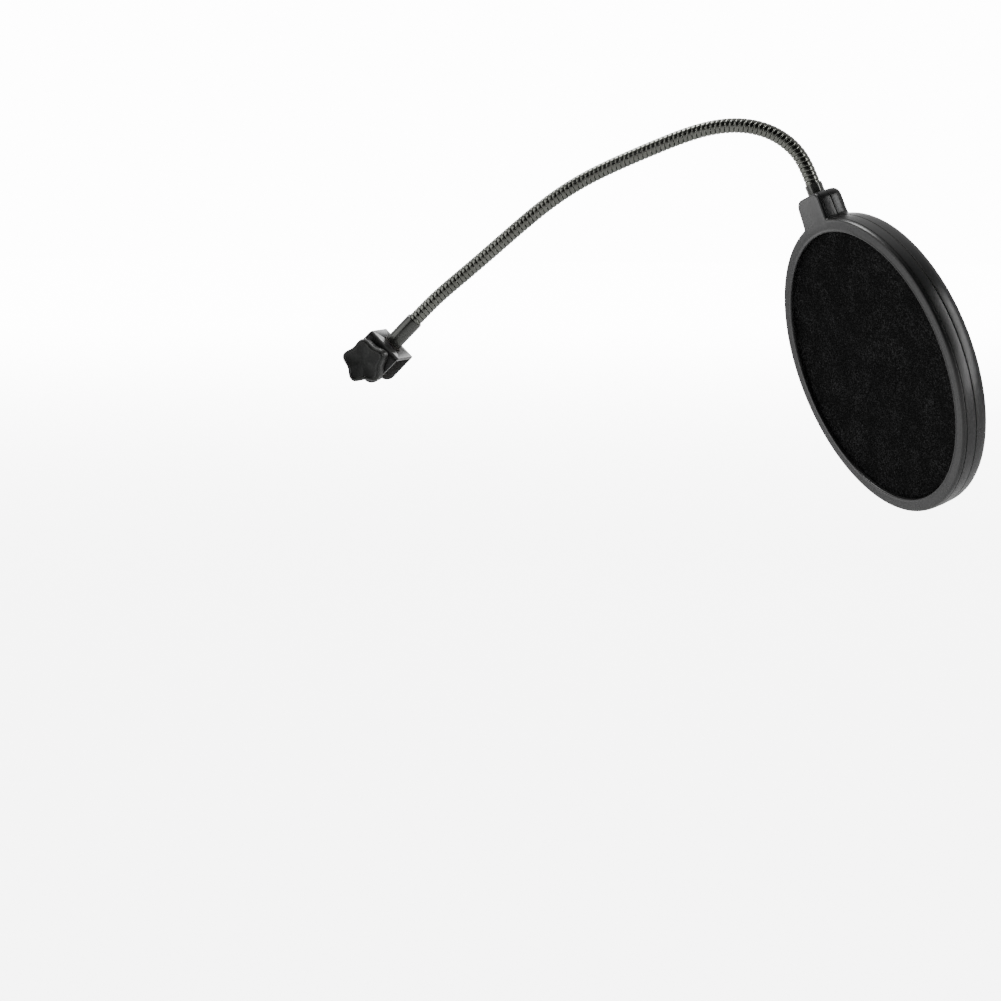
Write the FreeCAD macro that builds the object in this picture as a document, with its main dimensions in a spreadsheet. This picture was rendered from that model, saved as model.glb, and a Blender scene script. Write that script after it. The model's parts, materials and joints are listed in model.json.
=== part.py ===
"""Pop filter: a round double-mesh screen on a gooseneck, held by a small screw clamp.

Millimetres, +Z up.  The origin is the middle of the fixed jaw's pad, where the clamped bar bears.
The clamp screw runs along Y, with its knob towards -Y.  The clamp is tilted about Y, and the
gooseneck rises from its web and curls over in the plane y = neck_plane, down into the screen's boss.
"""
import FreeCAD, Part
import math
import os
import Sketcher

V = FreeCAD.Vector

# Driving dimensions, in millimetres and degrees: (alias, value, what it is)
DIMENSIONS = [
    ("clamp_tilt", 45, "turn of the clamp about Y, so that the neck starts up and to the right"),
    ("plate_thickness", 2, "steel plate of the U bracket"),
    ("bracket_width", 21, "bracket along the clamped bar"),
    ("bracket_depth", 27, "bracket across the jaws, outside"),
    ("web_top", 12, "outer face of the web above the screw axis"),
    ("plate_drop", 9, "lower edge of the jaws below the screw axis"),
    ("bend_radius", 2.4, "outer radius of the bracket's two bends"),
    ("plate_corner", 5, "radius of the jaws' lower corners"),
    ("pad_thickness", 1.2, "rubber pad on the fixed jaw"),
    ("pad_width", 17, "fixed pad along the bar"),
    ("pad_height", 15, "fixed pad across the bar"),
    ("jaw_gap", 10, "gap between the two rubber faces as shown"),
    ("screw_radius", 2.95, "clamp screw, M6"),
    ("screw_fit", 0.05, "radial clearance of the screw in its insert and in the foot"),
    ("foot_radius", 5.4, "round foot on the screw's tip"),
    ("foot_rubber", 1, "rubber face of the foot"),
    ("foot_disc", 1.2, "disc of the foot"),
    ("foot_hub", 1.5, "hub of the foot around the screw's tip"),
    ("foot_hub_radius", 4.2, "outside of the hub"),
    ("insert_radius", 4, "shank of the threaded insert, through the front jaw"),
    ("insert_flange", 5, "radius of the insert's flange inside the jaw"),
    ("insert_flange_thickness", 1, "thickness of that flange"),
    ("knob_gap", 1.5, "knob clear of the front jaw as shown"),
    ("knob_thickness", 8.5, "moulded knob"),
    ("knob_radius", 12, "knob at its lobes"),
    ("knob_valley", 9.6, "knob between its lobes"),
    ("knob_scoop", 5.5, "radius of the scoop between two lobes"),
    ("knob_lobes", 5, "number of lobes"),
    ("knob_phase", 65, "angle of the first lobe from the bar towards the web"),
    ("knob_wall", 1.8, "plastic in front of the screw's end"),
    ("pivot_radius", 2.45, "shank of the neck screw, M5"),
    ("pivot_fit", 0.07, "radial clearance of that shank in the web"),
    ("pivot_head", 4.4, "radius of the low head under the web"),
    ("pivot_head_height", 1.6, "height of that head"),
    ("pivot_socket", 1.5, "flat-to-centre size of the hexagon socket in the head"),
    ("lock_washer", 0.6, "spring washer under the head"),
    ("face_gap", 0.05, "gap between faces that turn on each other"),
    ("fibre_washer", 0.5, "washer between the web and the lower ferrule"),
    ("ferrule_radius", 4.5, "lower ferrule"),
    ("ferrule_top", 30, "top of the lower ferrule above the screw axis"),
    ("ferrule_floor", 20.5, "floor of its socket above the screw axis"),
    ("ferrule_chamfer", 0.5, "chamfer on the ferrules"),
    ("wrap_radius", 3.75, "outer wrap of the gooseneck"),
    ("wrap_bore", 2.9, "inside of the outer wrap"),
    ("wrap_pitch", 2.5, "pitch of its ridges"),
    ("wrap_groove", 0.45, "depth of the grooves between the ridges"),
    ("cup_gap", 0.1, "clearance between a link's ball and the next link's cup"),
    ("cup_rim", 1.4, "where the cup's rim lies past the joint"),
    ("coil_radius", 2.7, "outside of the inner steel coil"),
    ("coil_bore", 1.8, "inside of the inner coil"),
    ("coil_start", 4.2, "inner coil of a link, from the joint below it"),
    ("coil_end", 0.5, "inner coil of a link, short of the joint above it"),
    ("link_length", 16, "one link of the gooseneck, joint to joint"),
    ("link_count", 16, "number of links"),
    ("head_drop", 96, "neck's end to the centre of the screen"),
    ("head_turn", -53, "turn of the screen about the neck's end"),
    ("ring_radius", 77.5, "outside of the screen's frame"),
    ("opening_radius", 70.6, "clear opening of the frame"),
    ("half_thickness", 7.5, "each half of the frame, front and rear"),
    ("ring_wall", 2, "outer wall of the frame"),
    ("flange", 1.9, "thickness of the frame's front and rear flanges"),
    ("parting", 0.15, "half of the line between the two halves"),
    ("rim_line", 2, "depth of the fine line round the front edge"),
    ("mesh_thickness", 0.5, "stretched mesh"),
    ("hoop_radius", 75.4, "outside of the hoops inside the frame"),
    ("hoop_bore", 72.2, "inside of the hoops"),
    ("mesh_hoop", 2.1, "thickness of the hoop behind each mesh"),
    ("boss_root", 76, "where the boss grows out of the frame"),
    ("boss_top", 91, "top of the boss from the centre of the screen"),
    ("boss_half_root", 12.7, "half the front boss's width at its root"),
    ("boss_half_top", 12.2, "half the front boss's width at its top"),
    ("boss_corner", 5, "radius of the boss's top corners"),
    ("rear_boss_half", 12.2, "half the rear boss's width"),
    ("rear_boss_round", 3.5, "rounding of the rear boss"),
    ("sleeve_radius", 4.4, "upper ferrule"),
    ("sleeve_collar", 5.4, "its collar, trapped between the halves of the boss"),
    ("sleeve_low", 79.2, "lower end of the upper ferrule"),
    ("collar_low", 81, "lower face of the collar"),
    ("collar_high", 83, "upper face of the collar"),
    ("sleeve_floor", 84.5, "floor of the upper ferrule's socket"),
    ("sleeve_top", 96, "top of the upper ferrule"),
    ("boss_screw", 1.2, "radius of the two screws of the boss"),
    ("boss_screw_head", 1.9, "radius of their heads"),
    ("boss_screw_offset", 7.4, "from the neck's axis to each screw"),
    ("boss_screw_height", 86, "from the centre of the screen to the screws"),
    ("boss_screw_seat", 4.2, "seat of the heads behind the middle plane"),
    ("boss_screw_depth", 5.2, "how deep the screws reach into the front half"),
]
# Bend of the gooseneck at each joint, in degrees, from the clamp to the screen
NECK_BENDS = [6, 0, -1, 0, 2, 5, 6, 4, 1, 1, 6, 13, 19, 23, 28]

doc = FreeCAD.newDocument("pop_filter")
sheet = doc.addObject("Spreadsheet::Sheet", "Dims")
size = {}
rows = DIMENSIONS + [("bend_%02d" % (i + 1), a, "neck bend") for i, a in enumerate(NECK_BENDS)]
for row, (alias, value, note) in enumerate(rows, start=1):
    sheet.set("A%d" % row, alias)
    sheet.set("B%d" % row, str(value))
    sheet.set("C%d" % row, note)
    sheet.setAlias("B%d" % row, alias)
    size[alias] = value
doc.recompute()

nodes = []


# ---------------------------------------------------------------- frames of reference

def turn(axis, degrees):
    return FreeCAD.Placement(V(0, 0, 0), FreeCAD.Rotation(axis, degrees))


def shift(x, y, z):
    return FreeCAD.Placement(V(x, y, z), FreeCAD.Rotation())


X_AXIS, Y_AXIS, Z_AXIS = V(1, 0, 0), V(0, 1, 0), V(0, 0, 1)
back_face = size["pad_thickness"] + size["plate_thickness"]
neck_plane = back_face - size["bracket_depth"] / 2
# Clamp: x along the bar, y across the jaws, z out through the web
CLAMP = turn(Y_AXIS, size["clamp_tilt"])
# Screw: z from the fixed pad's face towards the knob
SCREW = CLAMP * turn(X_AXIS, 90)
# Neck mounting: as the clamp, in the plane of the neck
PIVOT = CLAMP * shift(0, neck_plane, 0)


def neck_frames():
    """One frame per link, at its lower joint with z along the link, and the frame at the neck's end."""
    frames = []
    joint = PIVOT.multVec(V(0, 0, size["ferrule_top"]))
    tilt = size["clamp_tilt"]
    for bend in NECK_BENDS + [0]:
        frame = FreeCAD.Placement(joint, FreeCAD.Rotation(Y_AXIS, tilt))
        frames.append(frame)
        joint = frame.multVec(V(0, 0, size["link_length"]))
        tilt += bend
    return frames, FreeCAD.Placement(joint, frames[-1].Rotation)


LINKS, NECK_END = neck_frames()
# Screen: origin at its centre, y towards its rear, z up into the boss
HEAD = (NECK_END * shift(0, 0, size["head_drop"]) * turn(Y_AXIS, 180) * turn(Z_AXIS, size["head_turn"]))


# ---------------------------------------------------------------- ways of making a piece

def bind(item, **expressions):
    for name, expression in expressions.items():
        item.setExpression(name.replace("__", "."), expression)
    return item


def keep(item, label, placement):
    item.Label = label
    item.Placement = placement
    nodes.append(item)
    return item


def new_body(name):
    return doc.addObject("PartDesign::Body", name + "_body")


def origin_plane(body, role):
    return [feature for feature in body.Origin.OriginFeatures if feature.Role == role][0]


def outline(body, name, role, corners):
    """A closed outline of straight edges, each corner placed by a pair of sheet expressions."""
    sketch = body.newObject("Sketcher::SketchObject", name)
    sketch.AttachmentSupport = [(origin_plane(body, role), "")]
    sketch.MapMode = "FlatFace"
    count = len(corners)
    start = [V(i, i * i, 0) for i in range(count)]
    for i in range(count):
        sketch.addGeometry(Part.LineSegment(start[i], start[(i + 1) % count]), False)
    for i in range(count):
        sketch.addConstraint(Sketcher.Constraint("Coincident", i, 2, (i + 1) % count, 1))
    for i, pair in enumerate(corners):
        for kind, expression in zip(("DistanceX", "DistanceY"), pair):
            index = sketch.addConstraint(Sketcher.Constraint(kind, -1, 1, i, 1, 1.0))
            sketch.setExpression("Constraints[%d]" % index, expression)
    return sketch


def rectangle(low_x, high_x, low_y, high_y):
    return [(low_x, low_y), (high_x, low_y), (high_x, high_y), (low_x, high_y)]


def revolve(body, name, role, corners, kind="PartDesign::Revolution"):
    """Turn an outline about its sketch's upright axis."""
    sketch = outline(body, name + "_outline", role, corners)
    feature = body.newObject(kind, name)
    feature.Profile = sketch
    feature.ReferenceAxis = (sketch, ["V_Axis"])
    feature.Angle = 360
    sketch.Visibility = False
    return feature


def pad(body, name, role, corners, length, symmetric=False, reverse=False):
    sketch = outline(body, name + "_outline", role, corners)
    feature = body.newObject("PartDesign::Pad", name)
    feature.Profile = sketch
    feature.setExpression("Length", length)
    feature.Reversed = reverse
    if symmetric:
        feature.SideType = "Symmetric"
    return feature


def drill(body, name, radius, length, base):
    """A round hole along z of the body, from base, with sheet expressions for its sizes."""
    hole = body.newObject("PartDesign::SubtractiveCylinder", name)
    bind(hole, Radius=radius, Height=length)
    hole.Placement = base
    return hole


def fillet(body, name, radius, wanted):
    """Round the edges of the body's last feature for which wanted(edge) is true."""
    doc.recompute()
    last = body.Tip
    names = ["Edge%d" % (i + 1) for i, edge in enumerate(last.Shape.Edges) if wanted(edge)]
    feature = body.newObject("PartDesign::Fillet", name)
    feature.Base = (last, names)
    feature.setExpression("Radius", radius)
    return feature


def along(edge, axis):
    first, last = edge.firstVertex().Point, edge.lastVertex().Point
    line = last - first
    return line.Length > 0.2 and abs(line.normalize().dot(axis)) > 0.999


def turned(label, placement, corners):
    """A piece turned about its own z, from (radius, height) corners."""
    body = new_body(label)
    revolve(body, label + "_turning", "XZ_Plane", corners)
    return keep(body, label, placement)


def tube(label, placement, outer, inner, low, high):
    return turned(label, placement, rectangle(inner, outer, low, high))


# ---------------------------------------------------------------- clamp

def clamp_bracket():
    """One strip of plate bent into a U, drilled for the neck screw and for the insert."""
    body = new_body("clamp_bracket")
    back, front = "Dims.pad_thickness + Dims.plate_thickness", \
        "Dims.pad_thickness + Dims.plate_thickness - Dims.bracket_depth"
    t = "Dims.plate_thickness"
    pad(body, "strip", "YZ_Plane", [
        (front, "-Dims.plate_drop"),
        (front + " + " + t, "-Dims.plate_drop"),
        (front + " + " + t, "Dims.web_top - " + t),
        (back + " - " + t, "Dims.web_top - " + t),
        (back + " - " + t, "-Dims.plate_drop"),
        (back, "-Dims.plate_drop"),
        (back, "Dims.web_top"),
        (front, "Dims.web_top"),
    ], "Dims.bracket_width", symmetric=True)
    top = size["web_top"]
    drop = -size["plate_drop"]

    def outer_bend(edge):
        return along(edge, X_AXIS) and abs(edge.CenterOfMass.z - top) < 0.01

    def inner_bend(edge):
        return along(edge, X_AXIS) and abs(edge.CenterOfMass.z - top + size["plate_thickness"]) < 0.01

    def lower_corner(edge):
        return along(edge, Y_AXIS) and abs(edge.CenterOfMass.z - drop) < 0.01

    fillet(body, "outer_bends", "Dims.bend_radius", outer_bend)
    fillet(body, "inner_bends", "Dims.bend_radius - Dims.plate_thickness + 0.2", inner_bend)
    fillet(body, "lower_corners", "Dims.plate_corner", lower_corner)
    drill(body, "pivot_hole", "Dims.pivot_radius + Dims.pivot_fit", "2 * Dims.plate_thickness",
          shift(0, neck_plane, top - 1.5 * size["plate_thickness"]))
    drill(body, "insert_hole", "Dims.insert_radius", "2 * Dims.plate_thickness",
          shift(0, back_face - size["bracket_depth"] + 1.5 * size["plate_thickness"], 0)
          * turn(X_AXIS, 90))
    return keep(body, "clamp_bracket", CLAMP)


def fixed_jaw_pad():
    body = new_body("fixed_jaw_pad")
    half_width, half_height = "Dims.pad_width / 2", "Dims.pad_height / 2"
    pad(body, "sheet", "XZ_Plane",
        rectangle("-" + half_width, half_width, "-" + half_height, half_height),
        "Dims.pad_thickness", reverse=True)
    fillet(body, "corners", "1.5", lambda edge: along(edge, Y_AXIS))
    return keep(body, "fixed_jaw_pad", CLAMP)


FOOT_FACE = "Dims.jaw_gap"
FOOT_DISC = FOOT_FACE + " + Dims.foot_rubber"
FOOT_HUB = FOOT_DISC + " + Dims.foot_disc"
FOOT_BACK = FOOT_HUB + " + Dims.foot_hub"
JAW_OUTER = "Dims.bracket_depth - Dims.pad_thickness - Dims.plate_thickness"
JAW_INNER = JAW_OUTER + " - Dims.plate_thickness"
KNOB_BACK = JAW_OUTER + " + Dims.knob_gap"
KNOB_FRONT = KNOB_BACK + " + Dims.knob_thickness"
BORE = "Dims.screw_radius + Dims.screw_fit"


def screw_insert():
    """Flanged threaded insert, pressed through the front jaw from inside."""
    return turned("screw_insert", SCREW, [
        (BORE, JAW_INNER + " - Dims.insert_flange_thickness"),
        ("Dims.insert_flange", JAW_INNER + " - Dims.insert_flange_thickness"),
        ("Dims.insert_flange", JAW_INNER),
        ("Dims.insert_radius", JAW_INNER),
        ("Dims.insert_radius", JAW_OUTER),
        (BORE, JAW_OUTER),
    ])


def pressure_foot():
    """Steel foot: a disc and a hub with a blind bore, in which the screw's tip turns."""
    floor = FOOT_DISC + " + 0.9"
    return turned("pressure_foot", SCREW, [
        ("0", FOOT_DISC),
        ("Dims.foot_radius", FOOT_DISC),
        ("Dims.foot_radius", FOOT_HUB),
        ("Dims.foot_hub_radius", FOOT_HUB),
        ("Dims.foot_hub_radius", FOOT_BACK),
        (BORE, FOOT_BACK),
        (BORE, floor),
        ("0", floor),
    ])


def foot_rubber():
    return turned("foot_rubber", SCREW, [
        ("0", FOOT_FACE),
        ("Dims.foot_radius - 0.4", FOOT_FACE),
        ("Dims.foot_radius", FOOT_FACE + " + 0.4"),
        ("Dims.foot_radius", FOOT_DISC),
        ("0", FOOT_DISC),
    ])


def clamp_screw():
    tip = FOOT_DISC + " + 1"
    return turned("clamp_screw", SCREW, [
        ("0", tip),
        ("Dims.screw_radius - 0.4", tip),
        ("Dims.screw_radius", tip + " + 0.4"),
        ("Dims.screw_radius", KNOB_FRONT + " - Dims.knob_wall"),
        ("0", KNOB_FRONT + " - Dims.knob_wall"),
    ])


def clamp_knob():
    """Five-lobed knob: a turned blank with a scoop cut between each pair of lobes."""
    body = new_body("clamp_knob")
    blind = KNOB_FRONT + " - Dims.knob_wall"
    revolve(body, "blank", "XZ_Plane", [
        ("0", blind),
        ("Dims.screw_radius", blind),
        ("Dims.screw_radius", KNOB_BACK),
        ("Dims.knob_radius - 1", KNOB_BACK),
        ("Dims.knob_radius", KNOB_BACK + " + 1"),
        ("Dims.knob_radius", KNOB_FRONT + " - 1.6"),
        ("Dims.knob_radius - 1.6", KNOB_FRONT),
        ("0", KNOB_FRONT),
    ])
    step = 360 / size["knob_lobes"]
    scoop = drill(body, "scoop", "Dims.knob_scoop", "Dims.knob_thickness + 2",
                  turn(Z_AXIS, size["knob_phase"] + step / 2)
                  * shift(size["knob_valley"] + size["knob_scoop"], 0,
                          size["bracket_depth"] - back_face + size["knob_gap"] - 1))
    doc.recompute()
    scoops = body.newObject("PartDesign::PolarPattern", "scoops")
    scoops.Originals = [scoop]
    scoops.Axis = (body.Origin.OriginFeatures[2], [""])
    scoops.Angle = 360
    scoops.setExpression("Occurrences", "Dims.knob_lobes")
    body.Tip = scoops
    return keep(body, "clamp_knob", SCREW)


# ---------------------------------------------------------------- gooseneck mounting

WEB_INNER = "Dims.web_top - Dims.plate_thickness"
WASHER_TOP = WEB_INNER + " - Dims.face_gap"
HEAD_TOP = WASHER_TOP + " - Dims.lock_washer"
FIBRE_LOW = "Dims.web_top + Dims.face_gap"
FERRULE_LOW = FIBRE_LOW + " + Dims.fibre_washer"


def neck_screw():
    """Low-headed screw from inside the bracket, with a hexagon socket."""
    body = new_body("neck_screw")
    head_low = HEAD_TOP + " - Dims.pivot_head_height"
    revolve(body, "turning", "XZ_Plane", [
        ("0", head_low),
        ("Dims.pivot_head - 0.5", head_low),
        ("Dims.pivot_head", head_low + " + 0.6"),
        ("Dims.pivot_head", HEAD_TOP),
        ("Dims.pivot_radius", HEAD_TOP),
        ("Dims.pivot_radius", "Dims.ferrule_floor - 0.5"),
        ("0", "Dims.ferrule_floor - 0.5"),
    ])
    prism = body.newObject("PartDesign::SubtractivePrism", "socket")
    prism.Polygon = 6
    bind(prism, Circumradius="Dims.pivot_socket / cos(30)", Height="1.1 * 1 mm")
    head_level = size["web_top"] - size["plate_thickness"] - size["face_gap"]
    prism.Placement = shift(0, 0, head_level - size["lock_washer"] - size["pivot_head_height"] - 0.1)
    return keep(body, "neck_screw", PIVOT)


def neck_lock_washer():
    return tube("neck_lock_washer", PIVOT, "Dims.pivot_head", "Dims.pivot_radius + 0.05",
                HEAD_TOP, WASHER_TOP)


def fibre_washer():
    return tube("fibre_washer", PIVOT, "Dims.ferrule_radius + 0.4", "Dims.pivot_radius + 0.05",
                FIBRE_LOW, FERRULE_LOW)


def lower_ferrule():
    """Turned ferrule: tapped for the neck screw below, a socket for the neck above."""
    return turned("lower_ferrule", PIVOT, [
        ("Dims.pivot_radius", FERRULE_LOW),
        ("Dims.ferrule_radius - Dims.ferrule_chamfer", FERRULE_LOW),
        ("Dims.ferrule_radius", FERRULE_LOW + " + Dims.ferrule_chamfer"),
        ("Dims.ferrule_radius", "Dims.ferrule_top - Dims.ferrule_chamfer"),
        ("Dims.ferrule_radius - Dims.ferrule_chamfer", "Dims.ferrule_top"),
        ("Dims.wrap_radius", "Dims.ferrule_top"),
        ("Dims.wrap_radius", "Dims.ferrule_floor"),
        ("Dims.pivot_radius", "Dims.ferrule_floor"),
    ])


# ---------------------------------------------------------------- gooseneck

def neck_wrap(number):
    """One link of the outer wrap: a ridged tube with a cup below and a ball above.

    The first link has no cup and starts in the lower ferrule; the last has no ball and ends in
    the upper one.  Ball and cup share the joint's centre, so that the links bend freely.
    """
    label = "neck_wrap_%02d" % number
    first, last = number == 1, number == size["link_count"]
    low = "Dims.ferrule_floor + 0.5 - Dims.ferrule_top" if first else "Dims.cup_rim"
    high = "Dims.link_length + Dims.head_drop - Dims.sleeve_floor - 0.5" if last else "Dims.link_length"
    body = new_body(label)
    revolve(body, label + "_blank", "XZ_Plane", rectangle("0", "Dims.wrap_radius", low, high))
    if not last:
        ball = body.newObject("PartDesign::AdditiveSphere", label + "_ball")
        bind(ball, Radius="Dims.wrap_radius")
        ball.Placement = shift(0, 0, size["link_length"])
    if not first:
        cup = body.newObject("PartDesign::SubtractiveSphere", label + "_cup")
        bind(cup, Radius="Dims.wrap_radius + Dims.cup_gap")
    drill(body, label + "_bore", "Dims.wrap_bore", "4 * Dims.link_length",
          shift(0, 0, -size["link_length"]))
    half = "Dims.wrap_pitch / 4"
    middle = "1.06 * Dims.wrap_pitch"
    groove = revolve(body, label + "_groove", "XZ_Plane", [
        ("Dims.wrap_radius - Dims.wrap_groove", middle),
        ("Dims.wrap_radius + 0.2", middle + " - " + half),
        ("Dims.wrap_radius + 0.2", middle + " + " + half),
    ], kind="PartDesign::Groove")
    doc.recompute()
    grooves = body.newObject("PartDesign::LinearPattern", label + "_grooves")
    grooves.Originals = [groove]
    grooves.Direction = (groove.Profile[0], ["V_Axis"])
    bind(grooves, Length="5 * Dims.wrap_pitch")
    grooves.Occurrences = 6
    body.Tip = grooves
    return keep(body, label, LINKS[number - 1])


def neck_coil(number):
    """The stretch of the inner steel coil that lies in one link."""
    first, last = number == 1, number == size["link_count"]
    low = "Dims.ferrule_floor + 0.5 - Dims.ferrule_top" if first else "Dims.coil_start"
    high = ("Dims.link_length + Dims.head_drop - Dims.sleeve_floor - 0.5" if last
            else "Dims.link_length - Dims.coil_end")
    return tube("neck_coil_%02d" % number, LINKS[number - 1], "Dims.coil_radius", "Dims.coil_bore",
                low, high)


# ---------------------------------------------------------------- screen

FLANGE_LEVEL = "(Dims.half_thickness - Dims.flange)"
WALL_BORE = "Dims.ring_radius - Dims.ring_wall"
CHANNEL = [
    ("0", "Dims.sleeve_low - 0.2"),
    ("Dims.sleeve_radius", "Dims.sleeve_low - 0.2"),
    ("Dims.sleeve_radius", "Dims.collar_low"),
    ("Dims.sleeve_collar", "Dims.collar_low"),
    ("Dims.sleeve_collar", "Dims.collar_high"),
    ("Dims.sleeve_radius", "Dims.collar_high"),
    ("Dims.sleeve_radius", "Dims.boss_top + 1"),
    ("0", "Dims.boss_top + 1"),
]


def boss_corner(edge):
    return along(edge, Y_AXIS) and edge.CenterOfMass.z > size["boss_top"] - 1


def clear_parting(body, name, low_y):
    """Keep the boss's half clear of the other one, by half the parting line from low_y on."""
    over = 0.5
    half_span = size["boss_half_root"] + over
    gap = body.newObject("PartDesign::SubtractiveBox", name)
    gap.Length = 2 * half_span
    gap.Width = size["parting"]
    gap.Height = size["boss_top"] - size["boss_root"] + 2 * over
    gap.Placement = shift(-half_span, low_y, size["boss_root"] - over)


def front_ring():
    """Front half of the frame, with the front half of the boss moulded on."""
    body = new_body("front_ring")
    revolve(body, "front_section", "XY_Plane", [
        ("Dims.opening_radius", "-" + FLANGE_LEVEL),
        ("Dims.opening_radius", "-Dims.half_thickness + 0.4"),
        ("Dims.opening_radius + 0.6", "-Dims.half_thickness"),
        ("Dims.ring_radius - 0.7", "-Dims.half_thickness"),
        ("Dims.ring_radius - 0.1", "-Dims.half_thickness + 0.6"),
        ("Dims.ring_radius - 0.1", "-Dims.half_thickness + Dims.rim_line - 0.2"),
        ("Dims.ring_radius - 0.4", "-Dims.half_thickness + Dims.rim_line"),
        ("Dims.ring_radius - 0.1", "-Dims.half_thickness + Dims.rim_line + 0.2"),
        ("Dims.ring_radius", "-Dims.parting"),
        (WALL_BORE, "-Dims.parting"),
        (WALL_BORE, "-" + FLANGE_LEVEL),
    ])
    pad(body, "front_boss", "XZ_Plane", [
        ("-Dims.boss_half_root", "Dims.boss_root"),
        ("Dims.boss_half_root", "Dims.boss_root"),
        ("Dims.boss_half_top", "Dims.boss_top"),
        ("-Dims.boss_half_top", "Dims.boss_top"),
    ], "Dims.half_thickness")
    fillet(body, "front_corners", "Dims.boss_corner", boss_corner)
    revolve(body, "front_channel", "XZ_Plane", CHANNEL, kind="PartDesign::Groove")
    for side in (-1, 1):
        drill(body, "pilot_%d" % (side + 2), "Dims.boss_screw", "Dims.boss_screw_depth",
              shift(side * size["boss_screw_offset"], 0, size["boss_screw_height"])
              * turn(X_AXIS, 90))
    clear_parting(body, "front_parting", -size["parting"])
    return keep(body, "front_ring", HEAD)


def rear_ring():
    """Rear half of the frame, rounded at the back, with the rear half of the boss."""
    body = new_body("rear_ring")
    revolve(body, "rear_section", "XY_Plane", [
        (WALL_BORE, "Dims.parting"),
        ("Dims.ring_radius - 0.2", "Dims.parting"),
        ("Dims.ring_radius - 0.4", "Dims.half_thickness - 3"),
        ("Dims.ring_radius - 0.9", "Dims.half_thickness - 1.3"),
        ("Dims.ring_radius - 2", "Dims.half_thickness - 0.3"),
        ("Dims.ring_radius - 3.2", "Dims.half_thickness"),
        ("Dims.opening_radius + 0.6", "Dims.half_thickness"),
        ("Dims.opening_radius", "Dims.half_thickness - 0.4"),
        ("Dims.opening_radius", FLANGE_LEVEL),
        (WALL_BORE, FLANGE_LEVEL),
    ])
    pad(body, "rear_boss", "XZ_Plane", [
        ("-Dims.rear_boss_half", "Dims.boss_root"),
        ("Dims.rear_boss_half", "Dims.boss_root"),
        ("Dims.rear_boss_half", "Dims.boss_top"),
        ("-Dims.rear_boss_half", "Dims.boss_top"),
    ], "Dims.half_thickness", reverse=True)
    fillet(body, "rear_corners", "Dims.boss_corner", boss_corner)

    def rear_edge(edge):
        middle = edge.CenterOfMass
        return middle.y > size["half_thickness"] - 0.01 and middle.z > size["ring_radius"] + 2

    fillet(body, "rear_round", "Dims.rear_boss_round", rear_edge)
    revolve(body, "rear_channel", "XZ_Plane", CHANNEL, kind="PartDesign::Groove")
    for side in (-1, 1):
        at = shift(side * size["boss_screw_offset"], 0, size["boss_screw_height"])
        drill(body, "clearance_%d" % (side + 2), "Dims.boss_screw + 0.2", "Dims.half_thickness",
              at * turn(X_AXIS, -90))
        drill(body, "seat_%d" % (side + 2), "Dims.boss_screw_head + 0.2", "Dims.half_thickness",
              at * shift(0, size["boss_screw_seat"], 0) * turn(X_AXIS, -90))
    clear_parting(body, "rear_parting", 0)
    return keep(body, "rear_ring", HEAD)


def hoop(label, low, high):
    """A plain hoop inside the frame, about the screen's y axis."""
    body = new_body(label)
    revolve(body, label + "_section", "XY_Plane",
            rectangle("Dims.hoop_bore", "Dims.hoop_radius", low, high))
    return keep(body, label, HEAD)


def mesh_disc(label, low, high):
    body = new_body(label)
    revolve(body, label + "_section", "XY_Plane", rectangle("0", "Dims.hoop_radius", low, high))
    return keep(body, label, HEAD)


MESH_LEVEL = FLANGE_LEVEL + " - Dims.mesh_thickness"
HOOP_LEVEL = MESH_LEVEL + " - Dims.mesh_hoop"


def upper_ferrule():
    """Turned ferrule on the neck's end; its collar is trapped between the halves of the boss."""
    return turned("upper_ferrule", HEAD, [
        ("0", "Dims.sleeve_low"),
        ("Dims.sleeve_radius", "Dims.sleeve_low"),
        ("Dims.sleeve_radius", "Dims.collar_low"),
        ("Dims.sleeve_collar", "Dims.collar_low"),
        ("Dims.sleeve_collar", "Dims.collar_high"),
        ("Dims.sleeve_radius", "Dims.collar_high"),
        ("Dims.sleeve_radius", "Dims.sleeve_top - Dims.ferrule_chamfer"),
        ("Dims.sleeve_radius - Dims.ferrule_chamfer", "Dims.sleeve_top"),
        ("Dims.wrap_radius", "Dims.sleeve_top"),
        ("Dims.wrap_radius", "Dims.sleeve_floor"),
        ("0", "Dims.sleeve_floor"),
    ])


def boss_screws():
    """Two pan-headed screws from the rear, as one group of separate solids."""
    screws = []
    for side in (-1, 1):
        shank = bind(doc.addObject("Part::Cylinder", "boss_shank"),
                     Radius="Dims.boss_screw", Height="Dims.boss_screw_depth + Dims.boss_screw_seat")
        shank.Placement = (shift(side * size["boss_screw_offset"], size["boss_screw_seat"],
                                 size["boss_screw_height"]) * turn(X_AXIS, 90))
        head = bind(doc.addObject("Part::Cylinder", "boss_head"),
                    Radius="Dims.boss_screw_head", Height="1.4 * 1 mm")
        head.Placement = (shift(side * size["boss_screw_offset"], size["boss_screw_seat"],
                                size["boss_screw_height"]) * turn(X_AXIS, -90))
        screw = doc.addObject("Part::MultiFuse", "boss_screw")
        screw.Shapes = [shank, head]
        screws.append(screw)
    group = doc.addObject("Part::Compound", "boss_screws")
    group.Links = screws
    return keep(group, "boss_screws", HEAD)


# ---------------------------------------------------------------- the whole part

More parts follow.
